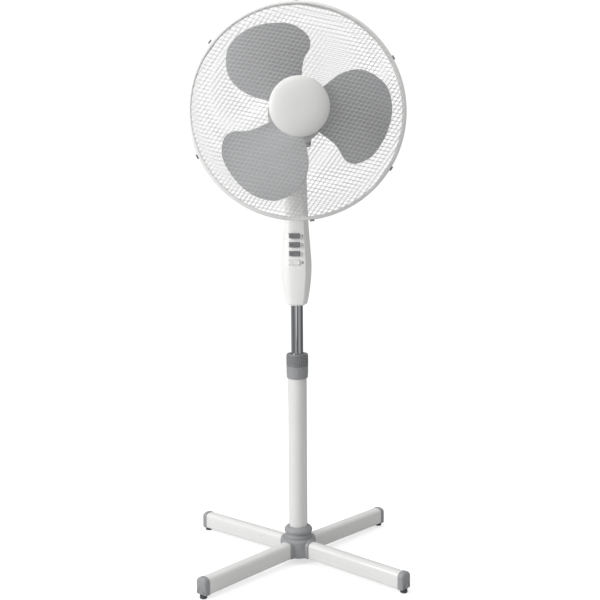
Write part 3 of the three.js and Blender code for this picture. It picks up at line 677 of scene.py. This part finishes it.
makePiece("tilt_yoke", yoke(), "whiteAbs", "tilt_bracket", ["tilt_bracket"],
          onHead, 36)
gripProfile = filletLine([
    (0, -26), (3, -26), (3, 20.4), (7.6, 20.4), (8.6, 22), (8.8, 27.5), (7.6, 30), (5, 31), (0, 31.2),
], [0, 0.3, 0.3, 0.5, 1, 1, 1.5, 1, 0], 3)
makePiece("tilt_grip", [reordered(turned(gripProfile, 96, ribs={
    "count": 16, "depth": 0.7, "from": 21.5, "to": 29, "beyond": 6, "sharpness": 0.6,
}), alongX)], "greyPlastic", "tilt_knob", ["tilt_knob"], onHead)
print("tilt joint built")

# Motor.

motorSize = {"floor": 17.2, "slots": 26, "slotDepth": 1.8, "slotFrom": 15, "slotTo": 39.5}


def motorBack():
    # turned about the shaft; below it the section is |x/r|^4 + |z/r|^4 = 1, cut flat at the floor;
    # radial cooling slots are pressed in round the end
    profile = filletLine([
        (0, 66), (12, 65.6), (24, 61.5), (29, 57.5), (36, 50), (41, 42), (43.6, 30), (44, 20),
        (44, -19.7), (38, -20), (0, -20),
    ], [0, 3, 3, 3, 3, 4, 4, 4, 1, 1, 0], 4)
    ends = np.concatenate([[0], np.cumsum(np.linalg.norm(np.diff(profile, axis=0), axis=1))])
    dense = np.linspace(0, ends[-1], 150)
    radius = np.interp(dense, ends, profile[:, 0])[:, None]
    depth = np.interp(dense, ends, profile[:, 1])[:, None]
    angle = np.linspace(0, fullTurn, 312, endpoint=False)[None]
    cos, sin = np.cos(angle), np.sin(angle)
    squared = (cos ** 4 + sin ** 4) ** -0.25
    below = np.clip(-sin * 1.6, 0, 1)
    spread = np.where(sin < 0, squared * below + (1 - below), 1)
    x, z = radius * cos * spread, radius * sin * spread
    slotted = ((np.cos(motorSize["slots"] * angle) > 0.25) & (radius > motorSize["slotFrom"])
               & (radius < motorSize["slotTo"]) & (depth > 30))
    y = depth - motorSize["slotDepth"] * slotted + 0 * angle
    x = x * (1 - 0.02 * slotted)
    z = np.maximum(z, motorSize["floor"] - headPlace["shaftRise"])
    return np.stack([x, y, z], -1), False, True


makePiece("motor_back_cover", [motorBack()], "whiteAbs", "head", ["motor_rear_cover"],
          onShaft, 30)
faceProfile = filletLine([
    (5, -47), (14.5, -47), (16, -45.5), (16, -35), (38, -34), (42, -32), (44, -29), (44, -20.3),
    (41.6, -20.3), (41.6, -30), (38, -31.6), (5, -31.6),
], 1.0, 3, closed=True)
facePoints, *faceWraps = reordered(turned(faceProfile, 120, ring=True), alongY)
facePoints[..., 2] = np.maximum(facePoints[..., 2], motorSize["floor"] - headPlace["shaftRise"])
makePiece("motor_face_cover", [(facePoints, *faceWraps)], "whiteAbs", "head",
          ["motor_front_cover"], onShaft)
swingKnob = turned(filletLine([
    (0, 14.5), (3, 14.5), (3, 46), (5.2, 47), (5.2, 52), (7, 52.6), (7.1, 58), (6.2, 61), (3, 62),
    (0, 61.4),
], [0, 0.3, 0.3, 0.4, 0.4, 0.8, 1, 1, 1, 0], 3), 96, ribs={
    "count": 14, "depth": 0.5, "from": 53, "to": 60, "beyond": 6, "sharpness": 0.6,
})
makePiece("swing_knob", [reordered(swingKnob, upright, (0, 34, 0))], "greyPlastic", "oscillation_knob",
          ["oscillation_knob"], onShaft)
print("motor built")

# Rotor.

bladeSize = {"places": (0.6, 123.4, 241.2), "middleY": -80, "helix": 30, "thickness": 2.2,
             "middle": -2, "camber": 2.6}
leadingEdge = [(26, 40), (68, 41), (113, 38.5), (151.5, 30), (180.5, 15.5), (187, 2)]
trailingEdge = [(26, -44), (62, -42), (101, -41), (135.5, -45.4), (157, -41), (174.5, -29),
                (183.5, -12), (187, 2)]


def bladeSurface(turnDegrees):
    # rows run from the hub to the tip between the two edges; across a row s = (1 - cos v) / 2, and
    # y = middle - helix * angle - camber sin(pi s), thickened to both sides along the normal by
    # half the thickness times |sin v|^0.4
    around = smoothLine([(r * math.cos(math.radians(a)), r * math.sin(math.radians(a)))
                         for r, a in leadingEdge + trailingEdge[-2::-1]], 10)
    tip = np.argmax(np.hypot(*around.T))
    rows = np.sin(np.linspace(0, math.pi / 2, 46)) ** 0.9

    def edge(line):
        length = np.concatenate([[0], np.cumsum(np.linalg.norm(np.diff(line, axis=0), axis=1))])
        at = rows * length[-1]
        x, z = np.interp(at, length, line[:, 0]), np.interp(at, length, line[:, 1])
        return np.hypot(x, z), np.arctan2(z, x)

    leadR, leadA = edge(around[:tip + 1])
    tailR, tailA = edge(around[tip:][::-1])
    v = np.linspace(0, fullTurn, 56, endpoint=False)[None]
    s = (1 - np.cos(v)) / 2

    def middle(s):
        radius = leadR[:, None] * (1 - s) + tailR[:, None] * s
        angle = leadA[:, None] * (1 - s) + tailA[:, None] * s
        bow = bladeSize["camber"] * np.sin(math.pi * s) * (1 - rows[:, None] ** 4)
        twist = bladeSize["helix"] * (angle - math.radians(bladeSize["middle"]))
        y = bladeSize["middleY"] - twist - bow
        return np.stack([radius * np.cos(angle), y, radius * np.sin(angle)], -1)

    centre = middle(s)
    radius = np.hypot(centre[..., 0], centre[..., 2])
    lean = bladeSize["helix"] / np.maximum(radius, 1)
    normal = np.stack([-centre[..., 2] / radius * lean, np.ones_like(radius),
                       centre[..., 0] / radius * lean], -1)
    normal /= np.linalg.norm(normal, axis=-1, keepdims=True)
    taper = 1.25 - 0.35 * rows[:, None]
    thick = bladeSize["thickness"] / 2 * taper * np.sign(np.sin(v)) * np.abs(np.sin(v)) ** 0.4
    points = centre + normal * thick[..., None]
    root = np.broadcast_to(points[:1].mean(1, keepdims=True), (1,) + points.shape[1:])
    return spun((np.concatenate([root, points]), False, True), turnDegrees, "y")


hubShell = filletLine([
    (4.3, -108), (19, -108), (26, -106), (30, -100), (30.6, -80), (30.6, -54), (28, -54), (28, -98),
    (19, -104), (9, -104), (9, -60), (4.3, -60),
], [0.3, 1, 3, 4, 1, 0.6, 0.6, 2, 2, 1, 0.3, 0.3], 4, closed=True)
rotorGrids = [bladeSurface(degrees) for degrees in bladeSize["places"]]
rotorGrids.append(reordered(turned(hubShell, 108, ring=True), alongY))
makePiece("blades", rotorGrids, "bladeResin", "rotor", ["fan_blade"], onShaft, 40)
spinner = filletLine([
    (0, -121), (9, -120.8), (15, -117.5), (19, -110.5), (19, -108.3), (4.4, -108.3), (4.4, -118.3),
    (0, -118.3),
], [0, 3, 3, 1.5, 0.4, 0.2, 0.2, 0], 4)
makePiece("spinner", [reordered(turned(spinner, 120, ribs={
    "count": 12, "depth": 0.9, "from": -120, "to": -109, "beyond": 12, "sharpness": 1,
}), alongY)], "greyPlastic", "rotor", ["spinner_nut"], onShaft)
print("rotor built")

# Guards.

netSize = {"spacing": 7.7, "firstWire": -12, "secondWire": 54, "halfWire": 0.37, "inner": 54,
           "outer": 209.5}
rearSide = [(40, -35.2), (56, -35.6), (100, -38.5), (140, -44), (185, -56.5), (205, -71), (212, -77.3)]
frontSide = [(40, -141), (55, -140.7), (100, -138), (140, -131.5), (185, -114), (205, -94), (212, -86)]


def diamondNet(side):
    # nodes i a + j b; each is wired to its neighbours along +a, +b, -a and -b, and the flat pattern
    # is laid on the dish y = f(r); a node has a front, a back and four crotch points, w (u + v) /
    # sin(angle) between the wires u and v, so that the wires meet in one closed surface
    half = netSize["halfWire"]
    ways = np.array([(math.cos(math.radians(d)), math.sin(math.radians(d)))
                     for d in (netSize["firstWire"], netSize["secondWire"])])
    crossing = abs(math.sin(math.radians(netSize["secondWire"] - netSize["firstWire"])))
    a, b = ways * netSize["spacing"] / crossing
    reach = int(netSize["outer"] / netSize["spacing"] * 1.3) + 2
    count = 2 * reach + 1
    i, j = np.meshgrid(np.arange(-reach, reach + 1), np.arange(-reach, reach + 1), indexing="ij")
    flat = (i[..., None] * a + j[..., None] * b).reshape(-1, 2)
    number = np.arange(count * count).reshape(count, count)
    distance = np.maximum(np.linalg.norm(flat, axis=1, keepdims=True), 1e-6)
    good = ((distance > netSize["inner"]) & (distance < netSize["outer"])).ravel()
    points = 6  # of one node: front, back and the crotches after wires 0, 1, 2 and 3
    present = np.zeros((4, count * count), bool)
    quads = []
    for way, starts, ends, sides in (
        (0, number[:-1], number[1:], (2, 5, 3, 4)),
        (1, number[:, :-1], number[:, 1:], (3, 2, 4, 5)),
    ):
        p, q = starts.ravel(), ends.ravel()
        wired = good[p] | good[q]
        p, q = p[wired], q[wired]
        present[way, p] = present[way + 2, q] = True
        leftP, rightP = p * points + sides[0], p * points + sides[1]
        leftQ, rightQ = q * points + sides[2], q * points + sides[3]
        frontP, frontQ, backP, backQ = p * points, q * points, p * points + 1, q * points + 1
        quads += [np.stack(corners, -1) for corners in (
            (frontP, frontQ, leftQ, leftP), (frontP, rightP, rightQ, frontQ),
            (backP, leftP, leftQ, backQ), (backP, backQ, rightQ, rightP))]
    for way in range(4):  # close the stump of every wire that is left out
        bare = np.nonzero(present.any(0) & ~present[way])[0] * points
        quads.append(np.stack([bare, bare + 2 + way, bare + 1, bare + 2 + (way + 3) % 4], -1))
    flat = flat / distance * np.clip(distance, netSize["inner"] - 3, netSize["outer"] + 1.5)
    u, v = ways
    plane = np.stack([flat, flat] + [
        flat + c[None] * half / crossing for c in (u + v, v - u, -u - v, u - v)
    ], 1)
    line = smoothLine(side, 12)
    r = np.linalg.norm(plane, axis=-1)
    y = np.interp(r, line[:, 0], line[:, 1])
    slope = np.interp(r, line[:, 0], np.gradient(line[:, 1], line[:, 0]))
    tall = np.array([-half, half, 0, 0, 0, 0])[None] / np.sqrt(1 + slope ** 2)
    radial = plane / np.maximum(r[..., None], 1e-6)
    placed = np.stack([plane[..., 0] - radial[..., 0] * slope * tall, y + tall,
                       plane[..., 1] - radial[..., 1] * slope * tall], -1).reshape(-1, 3)
    faces = np.vstack(quads)
    kept, renumbered = np.unique(faces, return_inverse=True)
    return placed[kept], renumbered.reshape(faces.shape)


def rimRing(section, segments=288):
    return reordered(turned(filletLine(section, 1.3, 4, closed=True), segments, ring=True), alongY)


rearRim = [(208.2, -79.6), (215, -80.4), (215.3, -77), (214.6, -73.6), (208.2, -74.2)]
frontRim = [(208.0, -89.1), (211.5, -89.0), (215.2, -86.4), (215.4, -82), (208.2, -81.6)]
for label, side, rim in (("rear", rearSide, rearRim), ("front", frontSide, frontRim)):
    netPoints, netQuads = diamondNet(side)
    # the net takes the darker copy of the wire enamel, a painted shade
    meshPiece(f"{label}_net", onShaft(netPoints), netQuads, "netEnamelPaintedShade", "head",
              [f"{label}_guard"], crease=100)
    makePiece(f"{label}_rim", [rimRing(rim)], "wireEnamel", "head",
              [f"{label}_guard"], onShaft)

rearPlate = filletLine([
    (16.6, -36.9), (30, -36.9), (44, -36.6), (57, -36.9), (58.4, -35.6), (57, -34.2), (44, -34.4),
    (38, -34.4), (16.6, -34.4),
], 0.8, 3, closed=True)
frontPlate = filletLine([
    (0, -142), (50, -142), (57, -141.9), (57.4, -140.6), (56, -139.4), (0, -139.4),
], [0, 0.5, 0.6, 0.6, 0.6, 0], 3)
makePiece("rear_plate", [reordered(turned(rearPlate, 144, ring=True), alongY)], "wireEnamel", "head",
          ["rear_guard"], onShaft)
makePiece("front_plate", [reordered(turned(frontPlate, 144), alongY)], "wireEnamel", "head",
          ["front_guard"], onShaft)
guardNut = filletLine([
    (16.4, -45.5), (27, -45.6), (30, -44.6), (32.6, -42.2), (33.2, -37.2), (16.4, -37.1),
], 0.8, 3, closed=True)
makePiece("guard_nut", [reordered(turned(guardNut, 192, ring=True, ribs={
    "count": 16, "depth": 1.2, "from": -44, "to": -37.15, "beyond": 30, "sharpness": 0.8,
}), alongY)], "greyPlastic", "head", ["rear_guard_nut"], onShaft)

capProfile = filletLine([
    (0, -157.2), (18, -156.9), (36, -155.4), (50, -152), (56.8, -148.2), (58.5, -145.4), (58.5, -142.5),
    (56.6, -142.5), (56.4, -144.4), (49, -149.8), (28, -153.8), (0, -155),
], [0, 6, 6, 5, 3, 1.2, 0.5, 0.4, 1, 3, 6, 0], 6)
makePiece("badge_cap", [reordered(turned(capProfile, 192), alongY)], "capAbs", "head",
          ["front_cap"], onShaft)

clipAngles = [28.7, 90, 141.5, 204, 277, 328.3]
clipLevels = [(0.35, -4.2), (0, -3.7), (0, 3.7), (0.35, 4.2)]  # inset and place across the width
clipOutline = filletLine([
    (217.9, -87.2), (218.4, -84), (218.4, -80), (217.9, -76), (216.6, -72), (210.5, -70.8),
    (210.5, -72.8), (215.2, -73.8), (216.4, -76.5), (216.8, -81.5), (216.8, -84.5), (216.4, -86.7),
], 0.9, 3, closed=True)


def clip():
    # the hook's outline in (radius, y), carried across 8.4 mm of width; at both ends it shrinks a
    # little towards its middle
    away = clipOutline - clipOutline.mean(0)
    away /= np.linalg.norm(away, axis=1, keepdims=True)
    rings = [np.column_stack([clipOutline - away * inset, np.full(len(away), z)])
             for inset, z in clipLevels]
    return np.stack(rings), False, True


def capEnds(grid):
    # strips across each end of a hook-shaped ring: point k is joined to point n - 1 - k
    points, *_ = grid
    strips = []
    for ring in (points[0], points[-1]):
        half = len(ring) // 2
        strips.append((np.stack([ring[:half], ring[::-1][:half]]), False, False))
    return strips


clipGrids = [clip(), *capEnds(clip())]
for number, degrees in enumerate(clipAngles, 1):
    node = f"guard_clip_{number}"
    makePiece(f"rim_clip_{number}", [spun(g, degrees, "y") for g in clipGrids], "greyPlastic", node,
              [node], onShaft, 40)
print("guards built")

# Finishes on the CAD nodes that stay.

kept = {
    "steel": ["motor_rotor", "motor_shaft", "tilt_nut"] + [f"leg_screw_{p}" for p in legDirections],
    "nylon": ["clamp_bush", "mast_end_plug"],
    "darkGreyPlastic": ["switch_block", "gearbox"],
    "windings": ["motor_stator"],
}
for look, names in kept.items():
    for name in names:
        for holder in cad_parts[name].material_slots:
            holder.material = looks[look]

# Stage, light and camera.

floorSize = {"radius": 1600, "segments": 96}
# glow of the floor and the backdrop as the camera sees them, and of the room above the horizon
roomLight = {"floor": 0.62, "backdrop": 1.05, "above": 0.62}
floorRings = np.array([(0, 0), (300, 0), (700, 0), (floorSize["radius"], 0)], float)
floorPoints, *floorWraps = turned(floorRings, floorSize["segments"])
points, quads = gather([(floorPoints, *floorWraps)])
floorMesh = bpy.data.meshes.new("studio_floor")
floorMesh.from_pydata((points * millimetre).tolist(), [], quads.tolist())
floorMesh.update()
paper, paperTree, paperShader = newFinish("matt_white_studio_floor")  # painted board: even, no glare
paperShader.inputs["Roughness"].default_value = 0.9
paperShader.inputs["Specular IOR Level"].default_value = 0.1
paperCloud = addNode(paperTree, "ShaderNodeMix", {
    "Factor": sizedNoise(paperTree, 400), "A": toLinear("d0d0d0"), "B": toLinear("cccccc"),
}, data_type="RGBA")
paperTree.links.new(paperCloud.outputs["Result"], paperShader.inputs["Base Color"])
paperShader.inputs["Emission Color"].default_value = (1, 1, 1, 1)
paperTree.links.new(addNode(paperTree, "ShaderNodeMath", {
    0: addNode(paperTree, "ShaderNodeLightPath").outputs["Is Camera Ray"], 1: roomLight["floor"],
}, operation="MULTIPLY").outputs[0], paperShader.inputs["Emission Strength"])
floorMesh.materials.append(paper)
floor = bpy.data.objects.new("studio_floor", floorMesh)
bpy.context.scene.collection.objects.link(floor)

lamps = {
    # a lamp's place in metres, its size in metres and its strength in watts; all look at the mast
    "key_left": {"at": (-3.4, -1.3, 1.9), "size": 1.8, "watts": 92},
    "top_soft": {"at": (-0.4, -0.3, 3.4), "size": 2.6, "watts": 21},
    "front_fill": {"at": (-0.8, -3.6, 1.2), "size": 2.4, "watts": 6},
}
for name, lamp in lamps.items():
    light = bpy.data.lights.new(name, "AREA")
    light.shape, light.size, light.energy = "DISK", lamp["size"], lamp["watts"]
    holder = bpy.data.objects.new(name, light)
    bpy.context.scene.collection.objects.link(holder)
    place = np.array(lamp["at"])
    forward = np.array([0, 0, 0.6]) - place
    forward /= np.linalg.norm(forward)
    side = np.cross(forward, [0, 0, 1]) + np.array([1e-6, 0, 0])
    side /= np.linalg.norm(side)
    up = np.cross(side, forward)
    basis = Matrix(np.stack([side, up, -forward], 1).tolist()).to_4x4()
    basis.translation = place.tolist()
    holder.matrix_world = basis

world = bpy.data.worlds.new("studio")
bpy.context.scene.world = world
world.use_nodes = True
air = world.node_tree
air.nodes.clear()
direction = addNode(air, "ShaderNodeTexCoord").outputs["Generated"]
parts = addNode(air, "ShaderNodeSeparateXYZ", {"Vector": direction})
azimuth = addNode(air, "ShaderNodeMath", {0: parts.outputs["X"], 1: addNode(
    air, "ShaderNodeMath", {0: parts.outputs["Y"], 1: -1.0}, operation="MULTIPLY").outputs[0]},
    operation="ARCTAN2")
share = addNode(air, "ShaderNodeMapRange", {
    "Value": azimuth.outputs[0], "From Min": -math.pi, "From Max": math.pi,
    "To Min": 0.0, "To Max": 1.0,
})
# brightness of the room near the horizon, by degrees from the camera side towards the right
horizon = [(-180, 0.5), (-128, 0.45), (-89, 0.24), (-60, 0.2), (-38, 0.5), (-14, 0.5), (4, 0.08),
           (16, 0.2), (34, 0.62), (56, 0.42), (89, 0.15), (128, 0.1), (160, 0.4), (180, 0.5)]
band = addNode(air, "ShaderNodeValToRGB", {"Fac": share.outputs["Result"]})
stops = band.color_ramp.elements
for k, (degrees, level) in enumerate(horizon):
    stop = stops[k] if k < 2 else stops.new((degrees + 180) / 360)
    stop.position = (degrees + 180) / 360
    stop.color = (level, level, level, 1)
high = addNode(air, "ShaderNodeMapRange", {
    "Value": parts.outputs["Z"], "From Min": 0.1, "From Max": 0.45, "To Min": 0.0, "To Max": 1.0})
room = addNode(air, "ShaderNodeMix", {
    "Factor": high.outputs["Result"], "A": band.outputs["Color"], "B": (roomLight["above"],) * 3 + (1,),
}, data_type="RGBA")
seen = addNode(air, "ShaderNodeLightPath").outputs["Is Camera Ray"]
shown = addNode(air, "ShaderNodeMix", {
    "Factor": seen, "A": room.outputs["Result"], "B": (roomLight["backdrop"],) * 3 + (1,),
}, data_type="RGBA")
glow = addNode(air, "ShaderNodeBackground", {"Color": shown.outputs["Result"], "Strength": 1.0})
addNode(air, "ShaderNodeOutputWorld", {"Surface": glow.outputs["Background"]})
bpy.context.scene.view_settings.view_transform = "Standard"

# degrees and millimetres; the focal length is given for a frame 600 wide
cameraPlace = {"azimuth": -3.03, "distance": 2206.95, "height": 847.76, "focal": 1069.31,
               "pitch": 7.44, "yaw": -0.17, "roll": -0.37, "frameWidth": 600, "sensor": 36}
cameraData = bpy.data.cameras.new("camera")
cameraData.sensor_width = cameraPlace["sensor"]
cameraData.lens = cameraPlace["focal"] * cameraPlace["sensor"] / cameraPlace["frameWidth"]
camera = bpy.data.objects.new("camera", cameraData)
bpy.context.scene.collection.objects.link(camera)
bpy.context.scene.camera = camera
az, pitch = math.radians(cameraPlace["azimuth"]), math.radians(cameraPlace["pitch"])
heading, roll = az + math.radians(cameraPlace["yaw"]), math.radians(cameraPlace["roll"])
eye = np.array([cameraPlace["distance"] * math.sin(az), -cameraPlace["distance"] * math.cos(az),
                cameraPlace["height"]]) * millimetre
gaze = np.array([-math.sin(heading) * math.cos(pitch), math.cos(heading) * math.cos(pitch),
                 -math.sin(pitch)])
rightward = np.array([math.cos(heading), math.sin(heading), 0])
upward = np.cross(rightward, gaze)
turnedRight = rightward * math.cos(roll) + upward * math.sin(roll)
turnedUp = upward * math.cos(roll) - rightward * math.sin(roll)
cameraBasis = Matrix(np.stack([turnedRight, turnedUp, -gaze], 1).tolist()).to_4x4()
cameraBasis.translation = eye.tolist()
camera.matrix_world = cameraBasis
print("stage ready")
